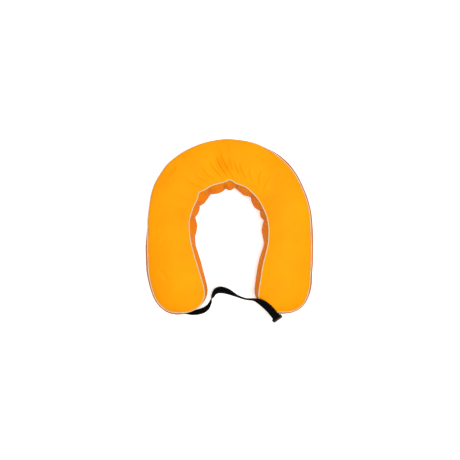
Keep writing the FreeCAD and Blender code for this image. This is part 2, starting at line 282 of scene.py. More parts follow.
def closed_pillow(rings, spacing):
    """A closed mesh from stacked rings of equal length, top ring first, filled at both ends.

    Returns points and faces, and for each face its ring band, or TOP_BAND or BOTTOM_BAND in
    the two fills, and its place along the ring, or -1 there."""
    count = len(rings[0])
    points = list(np.concatenate(rings))
    faces, band, station = [], [], []
    for r in range(len(rings) - 1):
        for i in range(count):
            j = (i + 1) % count
            a, b = r * count, (r + 1) * count
            faces.append((a + i, a + j, b + j, b + i))
            band.append(r)
            station.append(i)
    for ring_index, up, tag in ((0, True, TOP_BAND), (len(rings) - 1, False, BOTTOM_BAND)):
        ring = rings[ring_index]
        plan, triangles = fill_loop(ring[:, :2], spacing)
        away = distance_to_loop(plan[count:], ring[:, :2])
        height = ring[:, 2].mean()
        rise = 0.0022 * (1 - np.exp(-away / 0.022)) + 0.0030 * smooth(away, 0.008, 0.050)
        rise *= 1 if up else 0
        first = len(points)
        for (x, y), dz in zip(plan[count:], rise):
            points.append(np.array((x, y, height + dz)))
        for tri in facing(plan, triangles, up):
            faces.append(tuple(ring_index * count + k if k < count else first + k - count
                               for k in tri))
            band.append(tag)
            station.append(-1)
    return np.array(points), faces, np.array(band), np.array(station)


def tube(centres, radius, sides, closed):
    """A round tube along points, its rings carried along without twist."""
    centres = np.asarray(centres, float)
    count = len(centres)
    if closed:
        along = np.roll(centres, -1, axis=0) - np.roll(centres, 1, axis=0)
    else:
        along = np.gradient(centres, axis=0)
    along /= np.linalg.norm(along, axis=1)[:, None]
    up = np.array((0.0, 0.0, 1.0))
    points, faces = [], []
    for c, t in zip(centres, along):
        across = np.cross(up, t)
        across /= max(np.linalg.norm(across), 1e-9)
        rise = np.cross(t, across)
        for k in range(sides):
            a = 2 * math.pi * k / sides
            points.append(c + radius * (across * math.cos(a) + rise * math.sin(a)))
    last = count if closed else count - 1
    for i in range(last):
        j = (i + 1) % count
        for k in range(sides):
            m = (k + 1) % sides
            faces.append((i * sides + k, i * sides + m, j * sides + m, j * sides + k))
    if not closed:
        faces.append(tuple(reversed(range(sides))))
        faces.append(tuple(range((count - 1) * sides, count * sides)))
    return points, faces


# ================================================================ materials
def node_material(name):
    material = bpy.data.materials.new(name)
    material.use_nodes = True
    tree = material.node_tree
    return material, tree, tree.nodes["Principled BSDF"]


def link(tree, a, b):
    tree.links.new(a, b)


def add_noise(tree, scale, detail, coords):
    n = tree.nodes.new("ShaderNodeTexNoise")
    n.inputs["Scale"].default_value = scale
    n.inputs["Detail"].default_value = detail
    link(tree, coords, n.inputs["Vector"])
    return n


def colour_ramp(tree, value, stops):
    ramp = tree.nodes.new("ShaderNodeValToRGB")
    elements = ramp.color_ramp.elements
    for i, (at, colour) in enumerate(stops):
        e = elements[i] if i < 2 else elements.new(at)
        e.position = at
        e.color = (*colour, 1.0)
    link(tree, value, ramp.inputs["Fac"])
    return ramp


def multiply_colour(tree, factor, a, b):
    mix = tree.nodes.new("ShaderNodeMix")
    mix.data_type = "RGBA"
    mix.blend_type = "MULTIPLY"
    mix.inputs["Factor"].default_value = factor
    link(tree, a, mix.inputs["A"])
    link(tree, b, mix.inputs["B"])
    return mix.outputs["Result"]


def weave_height(tree, coords, pitch):
    """Over-and-under of a plain weave, as a height from crossed waves."""
    parts = []
    for axis in ("X", "Y"):
        wave = tree.nodes.new("ShaderNodeTexWave")
        wave.wave_type = "BANDS"
        wave.bands_direction = axis
        wave.inputs["Scale"].default_value = 0.5 / pitch
        wave.inputs["Distortion"].default_value = 0.6
        wave.inputs["Detail"].default_value = 1.0
        link(tree, coords, wave.inputs["Vector"])
        parts.append(wave.outputs["Fac"])
    join = tree.nodes.new("ShaderNodeMath")
    join.operation = "MULTIPLY"
    link(tree, parts[0], join.inputs[0])
    link(tree, parts[1], join.inputs[1])
    return join.outputs["Value"]


def add_bump(tree, shader, heights):
    """Stack bumps given as (height socket, strength, distance in metres)."""
    normal = None
    for height, strength, distance in heights:
        bump = tree.nodes.new("ShaderNodeBump")
        bump.inputs["Strength"].default_value = strength
        bump.inputs["Distance"].default_value = distance
        link(tree, height, bump.inputs["Height"])
        if normal is not None:
            link(tree, normal, bump.inputs["Normal"])
        normal = bump.outputs["Normal"]
    link(tree, normal, shader.inputs["Normal"])


def cover_fabric(name, dark, mid, light):
    """Coated orange cloth: cloudy colour, fine weave, small soft puckers, a faint sheen."""
    material, tree, shader = node_material(name)
    coords = tree.nodes.new("ShaderNodeTexCoord").outputs["Object"]
    clouds = add_noise(tree, 9.0, 4.0, coords)
    ramp = colour_ramp(tree, clouds.outputs["Fac"], [(0.30, dark), (0.72, light), (0.5, mid)])
    threads = add_noise(tree, 900.0, 2.0, coords)
    fleck = colour_ramp(tree, threads.outputs["Fac"], [(0.25, (0.86, 0.86, 0.86)),
                                                       (0.75, (1.0, 1.0, 1.0))])
    colour = multiply_colour(tree, 0.55, ramp.outputs["Color"], fleck.outputs["Color"])
    link(tree, colour, shader.inputs["Base Color"])
    shine = add_noise(tree, 30.0, 3.0, coords)
    rough = tree.nodes.new("ShaderNodeMapRange")
    rough.inputs["To Min"].default_value = 0.50
    rough.inputs["To Max"].default_value = 0.70
    link(tree, shine.outputs["Fac"], rough.inputs["Value"])
    link(tree, rough.outputs["Result"], shader.inputs["Roughness"])
    shader.inputs["Specular IOR Level"].default_value = 0.04
    puckers = add_noise(tree, 45.0, 3.0, coords)
    weave = weave_height(tree, coords, 0.0011)
    add_bump(tree, shader, [(puckers.outputs["Fac"], 0.30, 0.0020), (weave, 0.35, 0.00025)])
    return material


def piping_vinyl():
    material, tree, shader = node_material("piping_vinyl")
    coords = tree.nodes.new("ShaderNodeTexCoord").outputs["Object"]
    grime = add_noise(tree, 60.0, 4.0, coords)
    ramp = colour_ramp(tree, grime.outputs["Fac"], [(0.3, (0.50, 0.41, 0.25)),
                                                    (0.7, (0.60, 0.51, 0.34))])
    link(tree, ramp.outputs["Color"], shader.inputs["Base Color"])
    shader.inputs["Roughness"].default_value = 0.42
    shader.inputs["Specular IOR Level"].default_value = 0.25
    fine = add_noise(tree, 420.0, 3.0, coords)
    add_bump(tree, shader, [(fine.outputs["Fac"], 0.3, 0.0003)])
    return material


def webbing_weave():
    """Black webbing: ribs along its length and a herringbone tick, placed by UV in metres."""
    material, tree, shader = node_material("webbing_weave")
    uv = tree.nodes.new("ShaderNodeTexCoord").outputs["UV"]
    ribs = tree.nodes.new("ShaderNodeTexWave")
    ribs.bands_direction = "Y"
    ribs.inputs["Scale"].default_value = 190.0
    ribs.inputs["Distortion"].default_value = 0.4
    link(tree, uv, ribs.inputs["Vector"])
    ticks = tree.nodes.new("ShaderNodeTexWave")
    ticks.bands_direction = "DIAGONAL"
    ticks.inputs["Scale"].default_value = 420.0
    ticks.inputs["Distortion"].default_value = 0.8
    link(tree, uv, ticks.inputs["Vector"])
    ramp = colour_ramp(tree, ticks.outputs["Fac"], [(0.2, (0.0006, 0.0006, 0.0007)),
                                                    (0.9, (0.0034, 0.0034, 0.0038))])
    link(tree, ramp.outputs["Color"], shader.inputs["Base Color"])
    shader.inputs["Roughness"].default_value = 0.85
    shader.inputs["Specular IOR Level"].default_value = 0.03
    add_bump(tree, shader, [(ribs.outputs["Fac"], 0.5, 0.0005),
                            (ticks.outputs["Fac"], 0.35, 0.0003)])
    return material


def moulded_plastic():
    material, tree, shader = node_material("moulded_plastic")
    coords = tree.nodes.new("ShaderNodeTexCoord").outputs["Object"]
    grain = add_noise(tree, 1400.0, 2.0, coords)
    ramp = colour_ramp(tree, grain.outputs["Fac"], [(0.3, (0.002, 0.002, 0.0022)),
                                                    (0.7, (0.004, 0.004, 0.0045))])
    link(tree, ramp.outputs["Color"], shader.inputs["Base Color"])
    shader.inputs["Roughness"].default_value = 0.42
    shader.inputs["Specular IOR Level"].default_value = 0.18
    add_bump(tree, shader, [(grain.outputs["Fac"], 0.25, 0.00012)])
    return material


def closed_cell_foam():
    material, tree, shader = node_material("closed_cell_foam")
    coords = tree.nodes.new("ShaderNodeTexCoord").outputs["Object"]
    cells = tree.nodes.new("ShaderNodeTexVoronoi")
    cells.inputs["Scale"].default_value = 450.0
    link(tree, coords, cells.inputs["Vector"])
    ramp = colour_ramp(tree, cells.outputs["Distance"], [(0.0, (0.62, 0.62, 0.60)),
                                                         (0.6, (0.80, 0.80, 0.78))])
    link(tree, ramp.outputs["Color"], shader.inputs["Base Color"])
    shader.inputs["Roughness"].default_value = 0.85
    add_bump(tree, shader, [(cells.outputs["Distance"], 0.5, 0.0006)])
    return material


PANEL = cover_fabric("panel_fabric", (0.77, 0.250, 0.001), (0.79, 0.272, 0.001),
                     (0.81, 0.294, 0.001))
# The side walls' cloth is the panel's cloth made darker: painted shade for walls that stand in shade.
SHADED_GUSSET = cover_fabric("gusset_fabric", (0.70, 0.175, 0.001), (0.73, 0.195, 0.001),
                      (0.76, 0.216, 0.001))
# The outer side wall's cloth is darker still: painted deeper shade, not a different cloth.
DEEP_SHADED_OUTER_GUSSET = cover_fabric("outer_gusset_fabric_painted_shade", (0.46, 0.094, 0.001), (0.50, 0.108, 0.001),
                            (0.54, 0.122, 0.001))
PIPING = piping_vinyl()
WEBBING = webbing_weave()
PLASTIC = moulded_plastic()
FOAM = closed_cell_foam()

# ================================================================ cover
STEP = 0.0068                       # between points of the outline
FINE_STEP = 0.0036                  # the same where the side wall is gathered
FILL = 0.0058                       # between points inside the two panels
GUSSET_ROWS = 12                    # rows of faces down the side walls

places, normals, inner = make_outline(STEP, FINE_STEP)
places, normals = pushed(places, normals, [(OUTER_PUSHES, ~inner), (INNER_PUSHES, inner)])
front_places, _ = pushed(places, normals, [(KINKS, inner)])
along = np.concatenate(((0,), np.cumsum(np.linalg.norm(np.diff(places, axis=0), axis=1))))
gathered = inner * smooth(places[:, 1], -0.100, -0.045)
polar = np.degrees(np.arctan2(places[:, 1] - CROWN[1], places[:, 0] - CROWN[0]))
polar = (polar + 90) % 360 - 90
rolled = (~inner) * smooth(polar, 52, 74) * (1 - smooth(polar, 172, 196))
lower_seam = (~inner) * smooth(np.abs(places[:, 0]), 0.150, 0.205)
lower_seam = np.maximum(lower_seam, (~inner) * smooth(places[:, 1], 0.0, 0.1))
front_places = front_places - normals * (FRONT_INSET * (~inner) * (1 - rolled))[:, None]


def lobe_height(angle, s):
    """How far the gathered side wall stands out of its tucks at one angle."""
    for (start, _, height), (end, _, _) in zip(TUCKS, TUCKS[1:]):
        if start <= angle < end:
            share = (angle - start) / (end - start)
            round_lobe = math.sin(math.pi * share) ** 0.62
            tuck = math.exp(-(min(angle - start, end - angle) / TUCK_WIDTH) ** 2)
            return height * round_lobe - TUCK_DEPTH * tuck + 0.0016 * wander(s, 5, 62.0)
    return 0.0


def cover_rings():
    """Rings of the cover from the front panel's rolled edge down to the back panel's."""
    count = len(places)
    rings = []
    inner_edge = [(-0.0300, 0.0), (-0.0215, -0.0007), (-0.0145, -0.0020), (-0.0075, -0.0040)]
    outer_edge = [(-0.0380, -0.0004), (-0.0265, -0.0028), (-0.0160, -0.0060), (-0.0072, -0.0098)]
    roll_edge = [(-0.0300, 0.0), (-0.0180, -0.0006), (-0.0070, -0.0024), (0.0020, -0.0068)]
    seam_out = 0.0006 * np.array([wander(s, 1, 30.0) for s in along]) + 0.001 * rolled
    seam_up = 0.0010 * np.array([wander(s, 2, 24.0) for s in along])
    seam_up -= OUTER_DROP * (~inner) * (1 - rolled) * lower_seam + 0.0135 * rolled
    back_out = 0.0008 * np.array([wander(s, 4, 28.0) for s in along])
    back_out += gathered * np.interp(polar, [t[0] for t in TUCKS], [t[1] for t in TUCKS])
    back_up = 0.0030 * gathered * np.array([max(0.0, wander(s, 6, 40.0)) for s in along])

    def ring_at(drop, out, height):
        """A ring between the front outline (drop 0) and the back outline (drop 1)."""
        share = float(smooth(drop, 0.0, 0.6))
        ring = np.zeros((count, 3))
        ring[:, :2] = front_places * (1 - share) + places * share + normals * out[:, None]
        ring[:, 2] = height
        return ring

    for (io, iz), (oo, oz), (ro, rz) in zip(inner_edge, outer_edge, roll_edge):
        o = io + (oo - io) * lower_seam
        z = iz + (oz - iz) * lower_seam
        out = o * (1 - rolled) + ro * rolled
        rings.append(ring_at(0.0, out, TOP_Z + z * (1 - rolled) + rz * rolled))
    lower_leg = smooth(-places[:, 1], 0.13, 0.22)
    bulge = np.where(inner, 0.0110 - 0.0035 * lower_leg, 0.0145)
    bulge = bulge + 0.0012 * np.array([wander(s, 8, 9.0) for s in along])
    bulge = bulge * (1 - 0.6 * gathered) - 0.0060 * rolled
    for row in range(GUSSET_ROWS + 1):
        t = row / GUSSET_ROWS
        swell = math.sin(math.pi * t) ** 0.75
        lean = TUCK_SLANT * (2 * t - 1)
        lobes = np.array([lobe_height(a + lean * wander(s, 3, 11.0), s)
                          for a, s in zip(polar, along)])
        out = seam_out * (1 - t) + back_out * t + bulge * swell
        out += gathered * lobes * math.sin(0.78 * math.pi * t) ** 0.8
        z = (FRONT_Z + seam_up) * (1 - t) + (BACK_Z + back_up) * t
        rings.append(ring_at(t, out, z))
    for o, z in ((-0.003, 0.0030), (-0.008, 0.0012), (-0.015, 0.0004)):
        rings.append(ring_at(1.0, out + o, z))
    return rings


FRONT_SEAM = 4                      # ring of the front seam
BACK_SEAM = FRONT_SEAM + GUSSET_ROWS
CLOTH_FRAMES = 16
CLOTH_REACH = 0.010                 # the most that the cloth may move a point
LOWEST_Z = 0.0003                   # the cover's least height, just off the floor


def swell_cloth(points, faces, held):
    """Blow the sewn cover up against its held seams with Blender's cloth, then cap each move."""
    obj = new_piece("cloth_trial", points, faces, None)
    group = obj.vertex_groups.new(name="held")
    group.add([int(i) for i in held], 1.0, "REPLACE")
    cloth = obj.modifiers.new("Cloth", "CLOTH")
    s = cloth.settings
    s.quality = 5
    s.mass = 0.15
    s.tension_stiffness = 22
    s.compression_stiffness = 22
    s.shear_stiffness = 10
    s.bending_stiffness = 0.9
    s.air_damping = 2.0
    s.use_pressure = True
    s.uniform_pressure_force = 3.2
    s.vertex_group_mass = "held"
    s.pin_stiffness = 1.0
    s.effector_weights.gravity = 0.0
    cloth.collision_settings.use_collision = False
    cloth.collision_settings.use_self_collision = False
    cloth.point_cache.frame_start = 1
    cloth.point_cache.frame_end = CLOTH_FRAMES
    scene = bpy.context.scene
    for f in range(1, CLOTH_FRAMES + 1):
        scene.frame_set(f)
    evaluated = obj.evaluated_get(bpy.context.evaluated_depsgraph_get())
    co = np.empty(len(points) * 3)
    evaluated.data.vertices.foreach_get("co", co)
    co = co.reshape(-1, 3)
    bpy.data.objects.remove(obj, do_unlink=True)
    scene.frame_set(1)
    move = co - points
    length = np.linalg.norm(move, axis=1)
    move *= (np.minimum(length, CLOTH_REACH) / np.maximum(length, 1e-9))[:, None]
    print("cloth moved: mean %.1f mm, most %.1f mm" % (length.mean() * 1e3, length.max() * 1e3))
    return points + move


def refined(points, faces, tags):
    """One round of Catmull-Clark subdivision, sharp at the seams; tags go with their faces."""
    obj = new_piece("refine_trial", points, faces, None)
    for _ in range(4):
        obj.data.materials.append(None)
    obj.data.polygons.foreach_set("material_index", tags)
    ends = np.empty(len(obj.data.edges) * 2, int)
    obj.data.edges.foreach_get("vertices", ends)
    row = ends.reshape(-1, 2) // len(places)
    on_seam = (row[:, 0] == row[:, 1]) & np.isin(row[:, 0], (FRONT_SEAM, BACK_SEAM))
    crease = obj.data.attributes.new("crease_edge", "FLOAT", "EDGE")
    crease.data.foreach_set("value", on_seam.astype(np.float32))
    sub = obj.modifiers.new("Subdivision", "SUBSURF")
    sub.levels = 1
    sub.render_levels = 1
    mesh = bpy.data.meshes.new_from_object(
        obj.evaluated_get(bpy.context.evaluated_depsgraph_get()))
    co = np.empty(len(mesh.vertices) * 3)
    mesh.vertices.foreach_get("co", co)
    quads = [tuple(p.vertices) for p in mesh.polygons]
    tag = np.empty(len(mesh.polygons), int)
    mesh.polygons.foreach_get("material_index", tag)
    bpy.data.objects.remove(obj, do_unlink=True)
    bpy.data.meshes.remove(mesh)
    return co.reshape(-1, 3), quads, tag


CREASE_DEPTH = 1.3                  # share of the depths below
# Creases of the front panel, most of them where the crown has been bent: start, end, half
# width, depth.
CREASES = [
    ((0.006, 0.163), (-0.038, 0.244), 0.0042, 0.0048),
    ((-0.010, 0.160), (-0.052, 0.230), 0.0046, 0.0044),
    ((0.022, 0.160), (-0.008, 0.234), 0.0042, 0.0040),
    ((0.037, 0.156), (0.008, 0.218), 0.0040, 0.0034),
    ((0.052, 0.152), (0.028, 0.208), 0.0042, 0.0030),
    ((-0.032, 0.160), (-0.072, 0.212), 0.0048, 0.0032),
    ((-0.058, 0.151), (-0.098, 0.190), 0.0052, 0.0026),
    ((-0.080, 0.140), (-0.122, 0.168), 0.0055, 0.0022),
    ((0.068, 0.148), (0.062, 0.196), 0.0046, 0.0020),
    ((0.090, 0.138), (0.102, 0.190), 0.0052, 0.0024),
    ((0.106, 0.118), (0.132, 0.166), 0.0056, 0.0018),
    ((-0.100, 0.122), (-0.152, 0.152), 0.0060, 0.0022),
    ((-0.128, 0.080), (-0.182, 0.098), 0.0060, 0.0018),
    ((-0.134, 0.050), (-0.196, 0.052), 0.0065, 0.0018),
    ((0.122, 0.076), (0.166, 0.108), 0.0065, 0.0016),
    ((-0.030, 0.240), (-0.044, 0.276), 0.0050, 0.0020),
    ((0.002, 0.232), (-0.010, 0.272), 0.0055, 0.0020),
    ((-0.215, 0.160), (-0.180, 0.196), 0.0080, 0.0016),
    ((0.110, -0.232), (0.150, -0.216), 0.0065, 0.0016),
    ((-0.235, -0.150), (-0.205, -0.190), 0.0080, 0.0014),
]


def press_creases(points):
    """Push soft grooves into the front panel, with a low swell at each side of a groove."""
    out = points.copy()
    top = smooth(points[:, 2], 0.088, 0.095)
    plan = points[:, :2]
    for start, end, width, depth in CREASES:
        a, b = np.array(start), np.array(end)
        d = b - a
        length = np.linalg.norm(d)
        t = np.clip(((plan - a) @ d) / length ** 2, 0, 1)
        bend = 0.004 * np.sin(math.pi * t)
        side = np.array((-d[1], d[0])) / length
        line = a + t[:, None] * d + bend[:, None] * side
        away = np.linalg.norm(plan - line, axis=1) / width
        fade = np.sin(math.pi * np.clip(0.08 + 0.92 * t, 0, 1)) ** 0.6
        groove = -np.exp(-away ** 2) + 0.42 * np.exp(-((away - 1.9) / 0.8) ** 2)
        out[:, 2] += CREASE_DEPTH * depth * groove * fade * top
    return out


def make_cover():
    """The whole sewn cover as one mesh, swelled, then cut at its seams into four pieces."""
    rings = cover_rings()
    points, faces, band, station = closed_pillow(rings, FILL)
    count = len(places)
    seams = list(range(FRONT_SEAM * count, (FRONT_SEAM + 1) * count))
    seams += list(range(BACK_SEAM * count, (BACK_SEAM + 1) * count))
    points = swell_cloth(points, faces, seams)
    points[:, 2] = np.maximum(points[:, 2], LOWEST_Z)
    tags = np.zeros(len(faces), int)
    side = (band >= FRONT_SEAM) & (band < BACK_SEAM)
    on_inner = np.where(station >= 0, inner[station], False)
    tags[side & ~on_inner] = 2
    tags[side & on_inner] = 3
    tags[(band >= BACK_SEAM)] = 1
    seam_front = points[FRONT_SEAM * count:(FRONT_SEAM + 1) * count]
    seam_back = points[BACK_SEAM * count:(BACK_SEAM + 1) * count]
    points, faces, tags = refined(points, faces, tags)
    points = press_creases(points)
    made = {}
    # Both side walls take cloths whose darker colour is painted shade.
    for tag, name, material in ((0, "front_panel", PANEL), (1, "back_panel", PANEL),
                                (2, "outer_gusset", DEEP_SHADED_OUTER_GUSSET), (3, "inner_gusset", SHADED_GUSSET)):
        own = [faces[i] for i in np.nonzero(tags == tag)[0]]
        used = sorted({k for f in own for k in f})
        index = {k: i for i, k in enumerate(used)}
        piece = new_piece(name + "_cloth", points[used], [[index[k] for k in f] for f in own],
                          material)
        made[name] = piece
    return made, seam_front, seam_back


def bend_at_crown(piece, *nodes):
    """A piece that runs over both halves of the yoke, across the crown where the yoke bends: its
    transform is baked in and the parts that it stands for are hidden.
    """
    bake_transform(piece)
    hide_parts(*nodes)


cover, seam_front, seam_back = make_cover()
for name, piece in cover.items():
    bend_at_crown(piece, name + "_left", name + "_right")


# ================================================================ piping
PIPING_R = 0.0016
PIPING_OUT = 0.0013                 # from the seam to the piping's middle, in plan


def make_piping(name, seam, rise):
    """A covered cord along a seam, just outside it."""
    centres = seam.copy()
    centres[:, :2] += normals * PIPING_OUT
    centres[:, 2] += rise
    for _ in range(2):
        centres = (np.roll(centres, 1, axis=0) + 2 * centres + np.roll(centres, -1, axis=0)) / 4
    points, faces = tube(centres, PIPING_R, 12, True)
    piece = new_piece(name + "_cord", points, faces, PIPING)
    bend_at_crown(piece, name + "_left", name + "_right")


make_piping("front_piping", seam_front, 0.0013)
make_piping("back_piping", seam_back, -0.0012)


# ================================================================ foam
SLAB_FILL = 0.016                   # between points inside a slab's faces
SLAB_EDGE = 0.002                   # height of a slab's cut edge
SLAB_ROUND = 0.006                  # how far that edge goes in


def make_slab(name, low, high, low_out, high_out):
    """One flotation slab that follows the cover's plan, low_out and high_out past its seam."""
    keep = slice(None, None, 2)
    plan, out = places[keep], normals[keep]
    rings = []
    for z, o in ((high, high_out - SLAB_ROUND), (high - SLAB_EDGE, high_out),
                 (low + SLAB_EDGE, low_out), (low, low_out - SLAB_ROUND)):
        ring = np.zeros((len(plan), 3))
        ring[:, :2] = plan + out * o
        ring[:, 2] = z
        rings.append(ring)
    points, faces, _, _ = closed_pillow(rings, SLAB_FILL)
    points[:, 2] = np.minimum(points[:, 2], high)
    piece = new_piece(name + "_slab", points, faces, FOAM, smooth_shade=False)
    bend_at_crown(piece, name + "_left", name + "_right")


make_slab("foam_back", 0.0045, 0.0345, -0.011, 0.000)
make_slab("foam_middle", 0.0355, 0.0655, 0.001, 0.001)
make_slab("foam_front", 0.0665, 0.0945, -0.001, -0.026)

# ================================================================ strap
WEB_WIDTH = 0.025
WEB_THICK = 0.0018
BESIDE = 0.010                      # from a route's points to the ones that give its width
STRAP_BOW = 0.0038                  # how far the strap is cupped across its width at its twist
# The strap's route from under its patch to the buckle: places and ways that its width points.
STRAP_ROUTE = [
    ((-0.1760, -0.3025, 0.0450), (0.0, 0.0, 1.0)),
    ((-0.1540, -0.3029, 0.0450), (0.0, 0.0, 1.0)),
    ((-0.1380, -0.3043, 0.0440), (0.0, -0.28, 0.96)),
    ((-0.1230, -0.3034, 0.0420), (0.08, -0.5, 0.86)),
    ((-0.1080, -0.3012, 0.0390), (0.15, -0.6, 0.78)),
    ((-0.0930, -0.2965, 0.0355), (0.27, -0.58, 0.76)),
    ((-0.0805, -0.2880, 0.0320), (0.38, -0.43, 0.82)),
    ((-0.0730, -0.2765, 0.0285), (0.3, -0.18, 0.94)),
    ((-0.0675, -0.2640, 0.0265), (0.24, -0.12, 0.96)),
    ((-0.0625, -0.2520, 0.0260), (-0.36, 0.2, 0.91)),
    ((-0.0570, -0.2405, 0.0265), (-0.5, 0.3, 0.81)),
    ((-0.0480, -0.2300, 0.0285), (-0.5, 0.75, 0.4)),
    ((-0.0365, -0.2252, 0.0325), (-0.2, 0.97, 0.1)),
    ((-0.0240, -0.2248, 0.0380), (0.0, 0.98, 0.2)),
    ((-0.0095, -0.2270, 0.0455), (0.15, 0.9, 0.4)),
    ((0.0050, -0.2313, 0.0550), (0.2, 0.72, 0.66)),
    ((0.0180, -0.2360, 0.0640), (0.1, 0.53, 0.84)),
    ((0.0300, -0.2405, 0.0730), (0.03, 0.41, 0.91)),
    ((0.0435, -0.2440, 0.0840), (0.0, 0.38, 0.93)),
    ((0.0575, -0.2455, 0.0950), (0.0, 0.37, 0.93)),
    ((0.0715, -0.2446, 0.1040), (0.0, 0.40, 0.92)),
    ((0.0840, -0.2450, 0.1085), (0.1, 0.56, 0.82)),
    ((0.0970, -0.2490, 0.1095), (0.3, 0.75, 0.6)),
    ((0.1090, -0.2565, 0.1072), (0.52, 0.75, 0.4)),
    ((0.1210, -0.2660, 0.1048), (0.64, 0.76, 0.1)),
    ((0.1320, -0.2765, 0.1036), (0.68, 0.73, 0.0)),
    ((0.1420, -0.2880, 0.1030), (0.71, 0.7, 0.0)),
    ((0.1503, -0.2990, 0.1018), (0.76, 0.65, 0.0)),
    ((0.1564, -0.3089, 0.0985), (0.809, 0.588, 0.0)),
]

# Buckle axes, from the direction that the socket slides in.
release = next(j for j in frame["joints"] if j["name"] == "buckle_release")
BUCKLE_LONG = np.array(release["axis"], float)
BUCKLE_LONG /= np.linalg.norm(BUCKLE_LONG)
BUCKLE_WIDE = np.cross(BUCKLE_LONG, (0.0, 0.0, 1.0))
BUCKLE_WIDE *= -1 / np.linalg.norm(BUCKLE_WIDE)
if BUCKLE_WIDE[0] < 0:
    BUCKLE_WIDE *= -1
BUCKLE_OUT = np.cross(BUCKLE_LONG, BUCKLE_WIDE)
if BUCKLE_OUT[2] < 0:
    BUCKLE_OUT *= -1
STRAP_BAR = np.array((0.157, -0.3097, 0.089))
WRAP_R = 0.0031                     # middle of the webbing round the strap's bar
TAIL_WRAP_R = 0.0034                # the same round the tail's bar
SOCKET_END = 0.0452                 # from the strap's bar to the tail's bar


def on_buckle(x, y, z):
    """A place given across, out of and along the buckle, from the strap's bar."""
    return STRAP_BAR + BUCKLE_WIDE * x + BUCKLE_OUT * y + BUCKLE_LONG * z


def nurbs_points(controls, resolution):
    """Points read from a smooth spline through control points."""
    data = bpy.data.curves.new("route_trial", "CURVE")
    data.dimensions = "3D"
    data.resolution_u = resolution
    spline = data.splines.new("NURBS")
    spline.points.add(len(controls) - 1)
    for point, c in zip(spline.points, controls):
        point.co = (*c, 1.0)
    spline.order_u = 3
    spline.use_endpoint_u = True
    obj = bpy.data.objects.new("route_trial", data)
    bpy.context.scene.collection.objects.link(obj)
    mesh = bpy.data.meshes.new_from_object(obj)
    found = np.array([v.co[:] for v in mesh.vertices])
    bpy.data.objects.remove(obj, do_unlink=True)
    bpy.data.meshes.remove(mesh)
    return found


def webbing_piece(name, centres, widths, bows=None):
    """Flat webbing along points with rounded selvedges and a UV map in metres.

    bows says how far it is cupped across its width at each point."""
    centres, widths = np.asarray(centres), np.asarray(widths)
    tangent = np.gradient(centres, axis=0)
    tangent /= np.linalg.norm(tangent, axis=1)[:, None]
    across = widths - tangent * (widths * tangent).sum(axis=1)[:, None]
    across /= np.linalg.norm(across, axis=1)[:, None]
    up = np.cross(across, tangent)
    half = WEB_WIDTH / 2
    t = WEB_THICK / 2
    section = [(-half, 0.0), (-half + 0.0006, t * 0.9), (-half + 0.0022, t),
               (-half * 0.5, t * 0.86), (0.0, t * 0.86), (half * 0.5, t * 0.86),
               (half - 0.0022, t), (half - 0.0006, t * 0.9),
               (half, 0.0), (half - 0.0006, -t * 0.9), (half - 0.0022, -t), (half * 0.5, -t * 0.86),
               (0.0, -t * 0.86), (-half * 0.5, -t * 0.86), (-half + 0.0022, -t),
               (-half + 0.0006, -t * 0.9)]
    sides = len(section)
    points, faces, uvs = [], [], []
    length = np.concatenate(((0,), np.cumsum(np.linalg.norm(np.diff(centres, axis=0), axis=1))))
    if bows is None:
        bows = np.zeros(len(centres))
    for c, a, u, bow in zip(centres, across, up, bows):
        points += [c + a * x + u * (y + bow * (0.4 - (x / half) ** 2)) for x, y in section]
    for i in range(len(centres) - 1):
        for k in range(sides):
            m = (k + 1) % sides
            faces.append((i * sides + k, (i + 1) * sides + k, (i + 1) * sides + m, i * sides + m))
            uvs.append([(length[i], section[k][0]), (length[i + 1], section[k][0]),
                        (length[i + 1], section[m][0]), (length[i], section[m][0])])
    first = tuple(range(sides))
    last = tuple(reversed(range((len(centres) - 1) * sides, len(centres) * sides)))
    faces += [first, last]
    uvs += [[(0.0, section[k][0]) for k in range(sides)]] * 2
    piece = new_piece(name, points, faces, WEBBING)
    layer = piece.data.uv_layers.new(name="webbing")
    flat = [c for face in uvs for uv in face for c in uv]
    layer.data.foreach_set("uv", flat)
    return piece


def make_strap():
    """The standing part of the strap, from one leg's end wall to the buckle on the other."""
    end = on_buckle(0, WRAP_R, 0)
    route = [np.array(p) for p, _ in STRAP_ROUTE] + [end]
    width = [np.array(w) / np.linalg.norm(w) for _, w in STRAP_ROUTE] + [BUCKLE_WIDE]
    centres = nurbs_points(route, 8)
    beside = nurbs_points([p + w * BESIDE for p, w in zip(route, width)], 8)
    reached = np.concatenate(((0,), np.cumsum(np.linalg.norm(np.diff(centres, axis=0), axis=1))))
    length = float(reached[-1])
    bows = STRAP_BOW * smooth(reached, 0.06, 0.10) * (1 - 0.75 * smooth(reached, 0.125, 0.17))
    bows *= 1 - smooth(reached, 0.24, 0.30)
    strap = webbing_piece("strap_web", centres, beside - centres, bows=bows)
    print("strap length %.3f m" % length)
    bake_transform(strap)
    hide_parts("strap_webbing")
    return strap, centres, beside - centres


strap, strap_line, strap_widths = make_strap()


def make_free_end():
    """The strap's last layer, round the bar and back under the standing part."""
    centres, widths = [], []
    for k in range(13):
        a = math.pi * k / 12
        centres.append(on_buckle(0, WRAP_R * math.cos(a), WRAP_R * math.sin(a)))
        widths.append(BUCKLE_WIDE)
    tangent = np.gradient(strap_line, axis=0)
    for i in range(len(strap_line) - 8, len(strap_line) - 34, -1):
        along_line = tangent[i] / np.linalg.norm(tangent[i])
        wide = strap_widths[i] / np.linalg.norm(strap_widths[i])
        up = np.cross(along_line, wide)
        if up[2] < 0:
            up = -up
        centres.append(strap_line[i] - up * 0.0028)
        widths.append(wide)
    piece = webbing_piece("strap_free_end_web", centres, widths)
    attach(piece, "right_half")
    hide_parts("strap_free_end")
    return piece


free_end = make_free_end()


